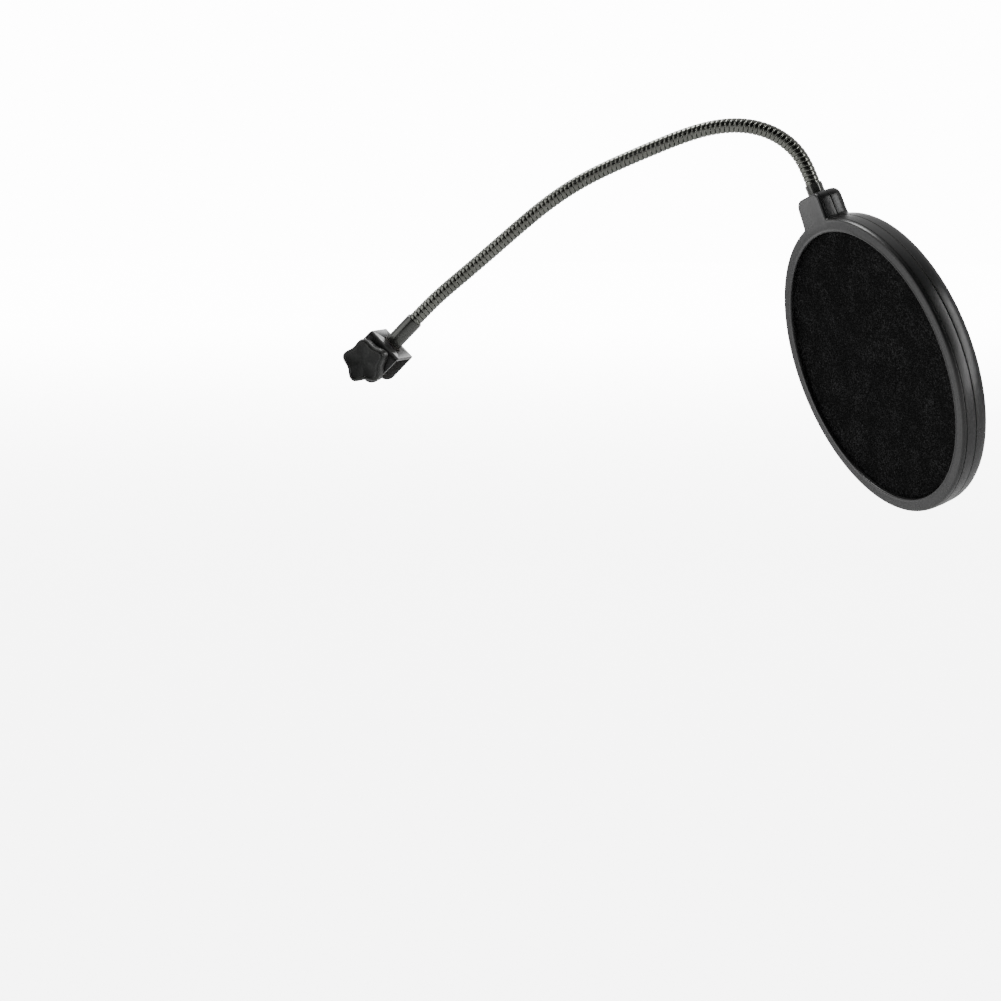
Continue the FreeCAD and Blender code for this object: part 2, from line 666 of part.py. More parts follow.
clamp_bracket()
fixed_jaw_pad()
screw_insert()
pressure_foot()
foot_rubber()
clamp_screw()
clamp_knob()
neck_screw()
neck_lock_washer()
fibre_washer()
lower_ferrule()
for link in range(1, size["link_count"] + 1):
    neck_wrap(link)
    neck_coil(link)
upper_ferrule()
front_ring()
rear_ring()
mesh_disc("front_mesh", "-" + FLANGE_LEVEL, "-(" + MESH_LEVEL + ")")
mesh_disc("rear_mesh", MESH_LEVEL, FLANGE_LEVEL)
hoop("front_mesh_hoop", "-(" + MESH_LEVEL + ")", "-(" + HOOP_LEVEL + ")")
hoop("rear_mesh_hoop", HOOP_LEVEL, MESH_LEVEL)
hoop("spacer_hoop", "-(" + HOOP_LEVEL + ")", HOOP_LEVEL)
boss_screws()

doc.recompute()
for item in doc.Objects:
    if "Invalid" in item.State or "Error" in item.State:
        raise RuntimeError("%s (%s) failed: %s" % (item.Name, item.Label, item.State))
for item in nodes:
    if item.Shape.isNull() or not item.Shape.isValid():
        raise RuntimeError("%s has no valid shape" % item.Label)

os.makedirs("parts", exist_ok=True)
for item in nodes:
    item.Shape.exportStep("parts/%s.step" % item.Label)
    print("%-18s %9.2f mm3  %d solid(s)" % (item.Label, item.Shape.Volume, len(item.Shape.Solids)))
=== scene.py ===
"""Looks of the pop filter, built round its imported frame.  Metres, except where a Place or MM is used."""
import json
import math

import bpy
import numpy as np
from mathutils import Matrix, Vector

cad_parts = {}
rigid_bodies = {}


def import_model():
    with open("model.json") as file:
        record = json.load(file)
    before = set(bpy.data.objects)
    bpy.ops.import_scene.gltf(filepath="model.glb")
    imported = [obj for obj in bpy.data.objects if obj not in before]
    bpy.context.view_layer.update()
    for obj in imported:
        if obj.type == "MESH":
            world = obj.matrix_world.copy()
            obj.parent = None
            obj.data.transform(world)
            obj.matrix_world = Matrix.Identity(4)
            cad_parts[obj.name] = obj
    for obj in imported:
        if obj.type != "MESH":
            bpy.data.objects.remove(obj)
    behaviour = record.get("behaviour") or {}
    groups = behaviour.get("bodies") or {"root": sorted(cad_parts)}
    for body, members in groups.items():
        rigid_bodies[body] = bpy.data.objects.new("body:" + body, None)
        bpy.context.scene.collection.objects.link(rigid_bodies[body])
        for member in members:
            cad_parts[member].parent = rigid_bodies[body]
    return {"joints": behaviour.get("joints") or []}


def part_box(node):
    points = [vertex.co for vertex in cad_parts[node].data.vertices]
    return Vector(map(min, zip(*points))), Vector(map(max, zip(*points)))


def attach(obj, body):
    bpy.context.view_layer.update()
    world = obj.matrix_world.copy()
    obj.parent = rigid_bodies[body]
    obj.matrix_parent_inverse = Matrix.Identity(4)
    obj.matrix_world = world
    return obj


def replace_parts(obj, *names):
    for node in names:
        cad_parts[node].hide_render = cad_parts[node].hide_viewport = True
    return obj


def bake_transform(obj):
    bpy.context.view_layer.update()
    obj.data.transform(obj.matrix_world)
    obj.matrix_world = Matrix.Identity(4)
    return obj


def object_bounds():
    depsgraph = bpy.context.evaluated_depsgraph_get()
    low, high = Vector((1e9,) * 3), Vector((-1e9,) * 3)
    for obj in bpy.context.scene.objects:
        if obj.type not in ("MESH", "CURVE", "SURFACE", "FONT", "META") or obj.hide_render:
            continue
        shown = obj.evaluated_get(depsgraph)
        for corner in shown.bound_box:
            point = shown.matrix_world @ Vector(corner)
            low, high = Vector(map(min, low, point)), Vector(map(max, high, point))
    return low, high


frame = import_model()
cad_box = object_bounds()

MM = 0.001
TAU = 2 * math.pi
JOINTS = {joint["name"]: joint for joint in frame["joints"]}


# ------------------------------------------------------------------ frames of reference

def unit(vector):
    vector = np.asarray(vector, float)
    return vector / np.linalg.norm(vector)


def middle(node):
    low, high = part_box(node)
    return (np.array(low) + np.array(high)) / 2


class Place:
    """A local frame: millimetres in, metres in the row frame out."""

    def __init__(self, origin, x, y, z):
        self.origin = np.asarray(origin, float)
        self.axes = np.array([unit(x), unit(y), unit(z)])

    def __call__(self, points):
        return self.origin + np.asarray(points, float) * MM @ self.axes


Y = np.array([0.0, 1.0, 0.0])
WEB_WAY = unit(JOINTS["neck_swivel"]["axis"])
BAR_WAY = np.cross(Y, WEB_WAY)
pivot_point = np.array(JOINTS["neck_swivel"]["pos_m"])

# Clamp: x along the bar, y across the jaws, z out through the web
CLAMP = Place((0, 0, 0), BAR_WAY, Y, WEB_WAY)
# Screw: z from the fixed jaw towards the knob
SCREW = Place((0, 0, 0), BAR_WAY, WEB_WAY, -Y)
# Neck screw and lower ferrule: z up from the web's outer face
PIVOT = Place(pivot_point, BAR_WAY, Y, WEB_WAY)

screen_centre = (middle("front_mesh") + middle("rear_mesh")) / 2
BEND_COUNT = sum(name.startswith("neck_bend_") for name in JOINTS)
bend_points = [np.array(JOINTS["neck_bend_%02d" % (i + 1)]["pos_m"]) for i in range(BEND_COUNT)]
boss_way = unit(bend_points[-1] - screen_centre)
rear_way = unit(middle("rear_mesh") - middle("front_mesh"))
side_way = np.cross(rear_way, boss_way)
# Screen: y towards its rear, z up into the boss
HEAD = Place(screen_centre, side_way, rear_way, boss_way)
# The same, for pieces turned about the screen's axis: z towards its rear
WHEEL = Place(screen_centre, side_way, -boss_way, rear_way)


# ------------------------------------------------------------------ making meshes

def mesh_piece(name, points, faces, sharp_degrees=35):
    """A mesh from points in metres, its faces turned outwards by the sign of the volume they enclose."""
    mesh = bpy.data.meshes.new(name)
    mesh.from_pydata([tuple(p) for p in points], [], faces)
    mesh.validate()
    mesh.update()
    mesh.calc_loop_triangles()
    corners = np.zeros(len(mesh.loop_triangles) * 3, int)
    mesh.loop_triangles.foreach_get("vertices", corners)
    a, b, c = (np.asarray(points)[corners.reshape(-1, 3)[:, i]] for i in range(3))
    if np.einsum("ij,ij->i", a, np.cross(b, c)).sum() < 0:
        mesh.flip_normals()
    mesh.shade_smooth()
    mesh.set_sharp_from_angle(angle=math.radians(sharp_degrees))
    piece = bpy.data.objects.new(name, mesh)
    bpy.context.scene.collection.objects.link(piece)
    return piece


def skin(name, grid, ring=False, sharp_degrees=35):
    """A closed surface over a grid of points (rows, columns, 3) in metres.

    Columns always join up.  With ring the rows join up too, as on a tyre; otherwise each end row is
    closed by a flat face, or by its middle point where the row has shrunk to nothing.
    """
    rows, columns = grid.shape[:2]
    index = np.arange(rows * columns).reshape(rows, columns)
    around = np.roll(index, -1, axis=1)
    ahead, around_ahead = (np.roll(i, -1, axis=0) for i in (index, around))
    quads = np.stack([index, around, around_ahead, ahead], axis=-1)
    faces = (quads if ring else quads[:-1]).reshape(-1, 4).tolist()
    if not ring:
        faces += [index[0][::-1].tolist(), index[-1].tolist()]
    return mesh_piece(name, grid.reshape(-1, 3), faces, sharp_degrees)


def soften(corners, reach, steps=4, closed=False):
    """A profile whose corners are replaced by small parabolic curves that start reach before each corner.

    Each curve is the quadratic Bezier from a point before the corner, by the corner, to one after it.
    """
    corners = np.asarray(corners, float)
    count = len(corners)
    t = np.linspace(0, 1, steps)[:, None]
    made = []
    for i in range(count):
        if not closed and i in (0, count - 1):
            made.append(corners[i:i + 1])
            continue
        here, before, after = corners[i], corners[i - 1], corners[(i + 1) % count]
        back, on = before - here, after - here
        start = here + back * min(reach / np.linalg.norm(back), 0.45)
        end = here + on * min(reach / np.linalg.norm(on), 0.45)
        made.append((1 - t) ** 2 * start + 2 * t * (1 - t) * here + t ** 2 * end)
    return np.concatenate(made)


def lathe(name, place, corners, reach=0.15, segments=64, ring=False):
    """A turned piece: a (radius, height) profile with softened corners, carried round the z axis."""
    profile = soften(corners, reach, closed=ring)
    angle = np.arange(segments) * TAU / segments
    radius, height = profile[:, 0:1], profile[:, 1:2]
    radius = np.maximum(radius, 0.02)
    grid = np.stack([radius * np.cos(angle), radius * np.sin(angle), height + 0 * angle], axis=-1)
    return skin(name, place(grid), ring)


def turned_rows(rows, angle):
    """A grid from rows of (radius at every angle, height)."""
    return np.array([np.stack([radius * np.cos(angle), radius * np.sin(angle), 0 * angle + height], axis=-1)
                     for radius, height in rows])


def bore(piece, cutters):
    """Cut closed meshes out of a piece, keep the result as its mesh and remove the cutters."""
    for cutter in cutters:
        cut = piece.modifiers.new("bore", "BOOLEAN")
        cut.operation = "DIFFERENCE"
        cut.solver = "EXACT"
        cut.object = cutter
    shaped = piece.evaluated_get(bpy.context.evaluated_depsgraph_get())
    mesh = bpy.data.meshes.new_from_object(shaped)
    piece.modifiers.clear()
    piece.data = mesh
    for cutter in cutters:
        bpy.data.objects.remove(cutter)
    return piece


def cylinder_cutter(place, radius, low, high, segments=48):
    return lathe("cutter", place, [(0, low), (radius, low), (radius, high), (0, high)], 0.001, segments)


# ------------------------------------------------------------------ materials

def add(tree, kind, **values):
    """A node with its settings; the values of its input sockets come as a dictionary in inputs."""
    node = tree.nodes.new(kind)
    for name, value in values.pop("inputs", {}).items():
        node.inputs[name].default_value = value
    for name, value in values.items():
        setattr(node, name, value)
    return node


def new_group(name, inputs, outputs):
    """An empty shader group with named sockets; a tuple in inputs is (name, kind, default)."""
    group = bpy.data.node_groups.new(name, "ShaderNodeTree")
    for label, kind, default in inputs:
        socket = group.interface.new_socket(label, in_out="INPUT", socket_type="NodeSocket" + kind)
        socket.default_value = default
    for label, kind in outputs:
        group.interface.new_socket(label, in_out="OUTPUT", socket_type="NodeSocket" + kind)
    return group, group.nodes.new("NodeGroupInput"), group.nodes.new("NodeGroupOutput")


def mix_colour(tree, factor, first, second):
    """A colour mix; each argument is a socket to link or a plain value.

    The node names its sockets alike for every kind of value, so those of its colours are given by number.
    """
    mix = add(tree, "ShaderNodeMix", data_type="RGBA")
    for number, value in ((0, factor), (6, first), (7, second)):
        if isinstance(value, bpy.types.NodeSocket):
            tree.links.new(value, mix.inputs[number])
        else:
            mix.inputs[number].default_value = value
    return mix.outputs[2]


def grain_group():
    """Fine moulded or cast grain: a small noise for height, and a broad one for shade."""
    group, given, out = new_group(
        "surface_grain",
        [("Fine", "Float", 2500.0), ("Broad", "Float", 60.0)],
        [("Height", "Float"), ("Shade", "Float")])
    where = add(group, "ShaderNodeTexCoord")
    fine = add(group, "ShaderNodeTexNoise", inputs={"Detail": 3.0, "Roughness": 0.6})
    broad = add(group, "ShaderNodeTexNoise", inputs={"Detail": 4.0, "Roughness": 0.65})
    for noise, scale in ((fine, "Fine"), (broad, "Broad")):
        group.links.new(where.outputs["Object"], noise.inputs["Vector"])
        group.links.new(given.outputs[scale], noise.inputs["Scale"])
    group.links.new(fine.outputs["Fac"], out.inputs["Height"])
    group.links.new(broad.outputs["Fac"], out.inputs["Shade"])
    return group


def wear_group():
    """Rubbed edges: where the surface turns sharply outwards, broken up by noise, the worn colour shows."""
    group, given, out = new_group(
        "edge_wear",
        [("Color", "Color", (0.02, 0.02, 0.02, 1)), ("Worn", "Color", (0.2, 0.2, 0.2, 1)),
         ("Amount", "Float", 0.5)],
        [("Color", "Color"), ("Mask", "Float")])
    where = add(group, "ShaderNodeTexCoord")
    shape = add(group, "ShaderNodeNewGeometry")
    edge = add(group, "ShaderNodeMapRange", interpolation_type="SMOOTHSTEP",
               inputs={"From Min": 0.53, "From Max": 0.66})
    noise = add(group, "ShaderNodeTexNoise", inputs={"Scale": 420.0, "Detail": 5.0, "Roughness": 0.7})
    patch = add(group, "ShaderNodeMapRange", inputs={"From Min": 0.4, "From Max": 0.66})
    both = add(group, "ShaderNodeMath", operation="MULTIPLY")
    mask = add(group, "ShaderNodeMath", operation="MULTIPLY", use_clamp=True)
    links = group.links
    links.new(shape.outputs["Pointiness"], edge.inputs["Value"])
    links.new(where.outputs["Object"], noise.inputs["Vector"])
    links.new(noise.outputs["Fac"], patch.inputs["Value"])
    links.new(edge.outputs["Result"], both.inputs[0])
    links.new(patch.outputs["Result"], both.inputs[1])
    links.new(both.outputs[0], mask.inputs[0])
    links.new(given.outputs["Amount"], mask.inputs[1])
    links.new(mix_colour(group, mask.outputs[0], given.outputs["Color"], given.outputs["Worn"]),
              out.inputs["Color"])
    links.new(mask.outputs[0], out.inputs["Mask"])
    return group


def dust_group():
    """Sparse pale specks and a faint settled film on what faces up."""
    group, given, out = new_group(
        "dust",
        [("Color", "Color", (0.02, 0.02, 0.02, 1)), ("Amount", "Float", 0.2)],
        [("Color", "Color")])
    where = add(group, "ShaderNodeTexCoord")
    shape = add(group, "ShaderNodeNewGeometry")
    up = add(group, "ShaderNodeSeparateXYZ")
    film = add(group, "ShaderNodeMapRange",
               inputs={"From Min": 0.1, "From Max": 1.0, "To Min": 0.12, "To Max": 0.5})
    specks = add(group, "ShaderNodeTexVoronoi", inputs={"Scale": 900.0})
    spot = add(group, "ShaderNodeMapRange", inputs={"From Min": 0.1, "From Max": 0.05})
    cloud = add(group, "ShaderNodeTexNoise", inputs={"Scale": 35.0, "Detail": 4.0})
    most = add(group, "ShaderNodeMath", operation="MULTIPLY")
    whole = add(group, "ShaderNodeMath", operation="MULTIPLY_ADD")
    mask = add(group, "ShaderNodeMath", operation="MULTIPLY", use_clamp=True)
    links = group.links
    links.new(where.outputs["Object"], specks.inputs["Vector"])
    links.new(where.outputs["Object"], cloud.inputs["Vector"])
    links.new(shape.outputs["Normal"], up.inputs[0])
    links.new(up.outputs["Z"], film.inputs["Value"])
    links.new(specks.outputs["Distance"], spot.inputs["Value"])
    links.new(film.outputs["Result"], most.inputs[0])
    links.new(cloud.outputs["Fac"], most.inputs[1])
    links.new(spot.outputs["Result"], whole.inputs[0])
    whole.inputs[1].default_value = 0.5
    links.new(most.outputs[0], whole.inputs[2])
    links.new(whole.outputs[0], mask.inputs[0])
    links.new(given.outputs["Amount"], mask.inputs[1])
    links.new(mix_colour(group, mask.outputs[0], given.outputs["Color"], (0.35, 0.34, 0.32, 1)),
              out.inputs["Color"])
    return group


def knit_group():
    """Fine knitted net: rounded loops in a close pack, each loop with its own shade."""
    group, given, out = new_group(
        "knit", [("Loops", "Float", 1400.0)],
        [("Height", "Float"), ("Shade", "Float")])
    where = add(group, "ShaderNodeTexCoord")
    loops = add(group, "ShaderNodeTexVoronoi", voronoi_dimensions="2D", inputs={"Randomness": 0.45})
    dome = add(group, "ShaderNodeMapRange", interpolation_type="SMOOTHSTEP",
               inputs={"From Min": 0.12, "From Max": 0.55, "To Min": 0.0, "To Max": 1.0})
    level = add(group, "ShaderNodeSeparateColor")
    slack = add(group, "ShaderNodeTexNoise", inputs={"Scale": 55.0, "Detail": 5.0, "Roughness": 0.7})
    shade = add(group, "ShaderNodeMath", operation="MULTIPLY")
    links = group.links
    links.new(where.outputs["UV"], loops.inputs["Vector"])
    links.new(where.outputs["UV"], slack.inputs["Vector"])
    links.new(given.outputs["Loops"], loops.inputs["Scale"])
    links.new(loops.outputs["Distance"], dome.inputs["Value"])
    links.new(loops.outputs["Color"], level.inputs[0])
    links.new(level.outputs[0], shade.inputs[0])
    links.new(slack.outputs["Fac"], shade.inputs[1])
    links.new(dome.outputs["Result"], out.inputs["Height"])
    links.new(shade.outputs[0], out.inputs["Shade"])
    return group


GRAIN, WEAR, DUST, KNIT = grain_group(), wear_group(), dust_group(), knit_group()


def use_group(tree, group, **inputs):
    """A node that stands for a group; each input is a socket to link or a plain value."""
    node = add(tree, "ShaderNodeGroup", node_tree=group)
    for name, value in inputs.items():
        if isinstance(value, bpy.types.NodeSocket):
            tree.links.new(value, node.inputs[name])
        else:
            node.inputs[name].default_value = value
    return node


def rgba(colour):
    return (*colour, 1.0)


def start_material(name, metallic, coat, coat_roughness, specular):
    material = bpy.data.materials.new(name)
    material.use_nodes = True
    tree = material.node_tree
    shader = tree.nodes["Principled BSDF"]
    shader.inputs["Metallic"].default_value = metallic
    shader.inputs["Coat Weight"].default_value = coat
    shader.inputs["Coat Roughness"].default_value = coat_roughness
    shader.inputs["Specular IOR Level"].default_value = specular
    return material, tree, shader


def finish_material(name, dark, light, rough, fine, broad, bump, worn, wear, dust,
                    metallic=0.0, coat=0.0, coat_roughness=0.1, specular=0.5):
    """A finish whose colour runs between dark and light and whose roughness runs between the two of rough.

    fine and broad are the grain's scales per metre, bump its depth in metres, worn the colour of rubbed
    edges, wear and dust how much of each.
    """
    material, tree, shader = start_material(name, metallic, coat, coat_roughness, specular)
    grain = use_group(tree, GRAIN, Fine=fine, Broad=broad)
    shade = add(tree, "ShaderNodeMapRange", inputs={"From Min": 0.3, "From Max": 0.7})
    tree.links.new(grain.outputs["Shade"], shade.inputs["Value"])
    colour = mix_colour(tree, shade.outputs["Result"], rgba(dark), rgba(light))
    edges = use_group(tree, WEAR, Color=colour, Worn=rgba(worn), Amount=wear)
    dusted = use_group(tree, DUST, Color=edges.outputs["Color"], Amount=dust)
    tree.links.new(dusted.outputs["Color"], shader.inputs["Base Color"])
    roughness = add(tree, "ShaderNodeMapRange",
                    inputs={"From Min": 0.3, "From Max": 0.7, "To Min": rough[0], "To Max": rough[1]})
    tree.links.new(grain.outputs["Shade"], roughness.inputs["Value"])
    tree.links.new(roughness.outputs["Result"], shader.inputs["Roughness"])
    relief = add(tree, "ShaderNodeBump", inputs={"Strength": 1.0, "Distance": bump})
    tree.links.new(grain.outputs["Height"], relief.inputs["Height"])
    tree.links.new(relief.outputs["Normal"], shader.inputs["Normal"])
    return material


def knit_material():
    """Black knitted nylon: loops in relief, and specks where a loop catches light."""
    material, tree, shader = start_material("mesh_nylon_knit", 0.0, 0.0, 0.1, 0.05)
    shader.inputs["Roughness"].default_value = 0.75
    knit = use_group(tree, KNIT, Loops=1500.0)
    lit = add(tree, "ShaderNodeMapRange", interpolation_type="SMOOTHSTEP",
              inputs={"From Min": 0.26, "From Max": 0.62})
    tree.links.new(knit.outputs["Shade"], lit.inputs["Value"])
    colour = mix_colour(tree, lit.outputs["Result"], (0.0008, 0.0008, 0.001, 1), (0.028, 0.028, 0.029, 1))
    tree.links.new(colour, shader.inputs["Base Color"])
    relief = add(tree, "ShaderNodeBump", inputs={"Strength": 0.8, "Distance": 0.0002})
    tree.links.new(knit.outputs["Height"], relief.inputs["Height"])
    tree.links.new(relief.outputs["Normal"], shader.inputs["Normal"])
    return material


MATERIALS = {
    "black_coat": finish_material(
        "satin_powder_coat", (0.006, 0.006, 0.007), (0.012, 0.012, 0.012), (0.3, 0.42), 1800.0, 90.0,
        0.00003, (0.42, 0.42, 0.4), 0.8, 0.1, coat=0.3, coat_roughness=0.2),
    "black_rubber": finish_material(
        "black_rubber", (0.01, 0.01, 0.01), (0.02, 0.019, 0.018), (0.7, 0.85), 1200.0, 120.0,
        0.00005, (0.06, 0.06, 0.06), 0.5, 0.25),
    "zinc_steel": finish_material(
        "zinc_plated_steel", (0.42, 0.43, 0.44), (0.6, 0.61, 0.62), (0.22, 0.4), 900.0, 160.0,
        0.00001, (0.7, 0.7, 0.7), 0.5, 0.05, metallic=1.0),
    "knob_plastic": finish_material(
        "moulded_knob", (0.006, 0.007, 0.006), (0.012, 0.013, 0.012), (0.34, 0.44), 3200.0, 70.0,
        0.000018, (0.09, 0.09, 0.085), 0.5, 0.06),
    "fibre": finish_material(
        "vulcanised_fibre", (0.02, 0.016, 0.013), (0.04, 0.032, 0.026), (0.6, 0.75), 1500.0, 150.0,
        0.00003, (0.08, 0.06, 0.05), 0.4, 0.2),
    "ferrule_black": finish_material(
        "black_plated_ferrule", (0.06, 0.062, 0.056), (0.085, 0.087, 0.08), (0.16, 0.24), 2600.0, 80.0,
        0.000004, (0.3, 0.3, 0.28), 0.5, 0.06, metallic=0.6, coat=0.3, coat_roughness=0.12),
    "neck_wrap": finish_material(
        "oiled_black_steel", (0.15, 0.154, 0.138), (0.2, 0.205, 0.185), (0.2, 0.26), 2400.0, 60.0,
        0.000004, (0.45, 0.45, 0.41), 0.2, 0.02, metallic=1.0),
    "neck_coil": finish_material(
        "spring_steel", (0.25, 0.25, 0.25), (0.4, 0.4, 0.39), (0.25, 0.4), 2000.0, 120.0,
        0.000005, (0.5, 0.5, 0.5), 0.3, 0.05, metallic=1.0),
    "frame_plastic": finish_material(
        "satin_frame_plastic", (0.006, 0.006, 0.0065), (0.011, 0.011, 0.0115), (0.26, 0.34), 2600.0, 45.0,
        0.000012, (0.1, 0.1, 0.1), 0.4, 0.05),
    "hoop_plastic": finish_material(
        "hoop_plastic", (0.015, 0.015, 0.015), (0.025, 0.025, 0.025), (0.4, 0.5), 2200.0, 60.0,
        0.00002, (0.08, 0.08, 0.08), 0.4, 0.1),
    "mesh_nylon": knit_material(),
    "black_screw": finish_material(
        "black_oxide_screw", (0.02, 0.02, 0.02), (0.04, 0.04, 0.04), (0.3, 0.42), 1800.0, 200.0,
        0.00001, (0.35, 0.35, 0.35), 0.8, 0.1, metallic=0.8),
}


def dress(piece, slot_name, *nodes):
    """Give a piece its finish in its one slot, and hide the nodes of the frame that it stands for."""
    piece.data.materials.clear()
    piece.data.materials.append(MATERIALS[slot_name])
    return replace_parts(piece, *nodes)


# ------------------------------------------------------------------ clamp

PLATE = 2.0
# Rounding of the plate's edges
EDGE = 0.28
BRACKET_HALF = 10.5
BRACKET_CORNER = 5.0
BRACKET_FRONT, BRACKET_BACK = -23.8, 3.2
BRACKET_LOW, WEB_TOP = -9.0, 12.0
BEND = 2.4
# Along the screw, from the fixed jaw's pad: the jaws, the foot and the knob
JAW_OUTER = -BRACKET_FRONT
JAW_INNER = JAW_OUTER - PLATE
FOOT_FACE, FOOT_DISC = 10.0, 11.0
KNOB_BACK, KNOB_FRONT = 25.3, 33.8
SCREW_END = KNOB_FRONT - 1.9


def bracket():
    """A strip of plate bent into a U.

    The middle line is three straights joined by quarter circles.  A bevelled rectangle is carried along
    it; near each end its half width follows the quarter circle of the jaw's rounded corner.
    """
    inset = PLATE / 2
    run = WEB_TOP - BEND - BRACKET_LOW
    ends = np.array([0, 0.12, EDGE, 0.6, 1.1, 1.7, 2.4, 3.2, 4.1, BRACKET_CORNER, run * 0.5])
    quarter = np.linspace(0, math.pi / 2, 9)[1:-1]
    bend_mid = BEND - inset
    up = [(BRACKET_FRONT + inset, BRACKET_LOW + d, -1, 0, d) for d in ends]
    up.append((BRACKET_FRONT + inset, WEB_TOP - BEND, -1, 0, run))
    up += [(BRACKET_FRONT + BEND - bend_mid * math.cos(q), WEB_TOP - BEND + bend_mid * math.sin(q),
            -math.cos(q), math.sin(q), run) for q in quarter]
    up.append((BRACKET_FRONT + BEND, WEB_TOP - inset, 0, 1, run))
    mirror_at = BRACKET_FRONT + BRACKET_BACK
    down = [(mirror_at - y, z, -out_y, out_z, d) for y, z, out_y, out_z, d in reversed(up)]
    y, z, out_y, out_z, end = (a[:, None] for a in np.array(up + down).T)
    corner = BRACKET_CORNER - np.minimum(end, BRACKET_CORNER)
    half = BRACKET_HALF - BRACKET_CORNER + np.sqrt(np.maximum(BRACKET_CORNER ** 2 - corner ** 2, 0))
    bevel = EDGE - np.sqrt(np.maximum(EDGE ** 2 - (EDGE - np.minimum(end, EDGE)) ** 2, 0))
    turn = np.concatenate([np.linspace(q, q + math.pi / 2, 4) for q in np.arange(4) * math.pi / 2])
    sign_x, sign_t = np.sign(np.cos(turn.reshape(4, 4).mean(1))), np.sign(np.sin(turn.reshape(4, 4).mean(1)))
    sign_x, sign_t = np.repeat(sign_x, 4), np.repeat(sign_t, 4)
    x = sign_x * (half - EDGE - bevel) + EDGE * np.cos(turn)
    t = sign_t * (inset - EDGE - bevel) + EDGE * np.sin(turn)
    piece = skin("bracket", CLAMP(np.stack([x, y + t * out_y, z + t * out_z], axis=-1)))
    past = 1.0
    bore(piece, [cylinder_cutter(PIVOT, 2.52, -PLATE - past, past),
                 cylinder_cutter(SCREW, 4.0, JAW_INNER - past, JAW_OUTER + past)])
    return dress(piece, "black_coat", "clamp_bracket")


def jaw_pad():
    """Ribbed rubber pad: a section across the bar, with six ribs, carried along the bar."""
    half_x, half_z, thick, corner = 8.5, 7.5, 1.2, 1.5
    z = np.linspace(-1, 1, 73)
    rib = 0.22 * (0.5 - 0.5 * np.cos(z * math.pi * 6)) * (np.abs(z) < 0.999)
    face = np.stack([z, rib], axis=-1)
    back = np.array([[1.0, thick], [-1.0, thick]])
    section = np.concatenate([face, back])
    along = half_x - corner * (1 - np.sin(np.linspace(0, math.pi / 2, 7)))
    x = np.concatenate([-along[::-1], along])[:, None]
    past = np.maximum(np.abs(x) - (half_x - corner), 0)
    half = half_z - corner + np.sqrt(np.maximum(corner ** 2 - past ** 2, 0))
    grid = np.stack([x + 0 * section[:, 0], section[:, 1] + 0 * x, half * section[:, 0]], axis=-1)
    return dress(skin("jaw_pad", CLAMP(grid)), "black_rubber", "fixed_jaw_pad")


def insert():
    """Flanged bush in the front jaw, a hair proud of its outer face."""
    bore_radius, shank, flange = 3.0, 3.98, 5.0
    low, high = JAW_INNER - 1.0, JAW_OUTER + 0.05
    piece = lathe("insert", SCREW, [
        (bore_radius, low), (flange, low), (flange, JAW_INNER), (shank, JAW_INNER), (shank, high),
        (bore_radius, high)], ring=True)
    return dress(piece, "zinc_steel", "screw_insert")


def foot():
    """Steel disc with a hub, hollow for the screw's tip."""
    disc, hub, hollow = 5.4, 4.2, 3.0
    top, floor = FOOT_DISC + 2.7, FOOT_DISC + 1.0
    piece = lathe("foot", SCREW, [
        (0, FOOT_DISC), (disc, FOOT_DISC), (disc, FOOT_DISC + 1.2), (hub, FOOT_DISC + 1.4), (hub, top),
        (hollow, top), (hollow, floor), (0, floor)], 0.2)
    return dress(piece, "zinc_steel", "pressure_foot")


def foot_face():
    """Rubber face: a shallow dish in the middle and one groove round it."""
    dish, groove = FOOT_FACE + 0.25, FOOT_FACE + 0.2
    piece = lathe("foot_face", SCREW, [
        (0, dish), (2.2, dish), (2.5, FOOT_FACE), (3.4, FOOT_FACE), (3.6, groove), (3.9, groove),
        (4.1, FOOT_FACE), (5.0, FOOT_FACE), (5.4, FOOT_FACE + 0.4), (5.4, FOOT_DISC), (0, FOOT_DISC)], 0.1)
    return dress(piece, "black_rubber", "foot_rubber")


def threaded_screw():
    """M6 screw: its radius drops from crest to root as a triangle wave of height less turn."""
    crest, root, pitch, segments = 2.95, 2.5, 1.0, 36
    low, high = FOOT_DISC + 1.05, SCREW_END
    height = np.linspace(low, high, int((high - low) / pitch * 10))[:, None]
    turn = np.arange(segments) / segments
    wave = np.abs(2 * ((height / pitch - turn) % 1) - 1)
    radius = root + (crest - root) * np.clip(wave * 1.25 - 0.05, 0, 1)
    ends = np.minimum((height - low) / 0.8, (high - height) / 0.8)
    radius = np.minimum(radius, crest - 0.7 * np.clip(1 - ends, 0, 1))
    grid = np.stack([radius * np.cos(turn * TAU), radius * np.sin(turn * TAU), height + 0 * turn], axis=-1)
    return dress(skin("threaded_screw", SCREW(grid), sharp_degrees=50), "zinc_steel", "clamp_screw")


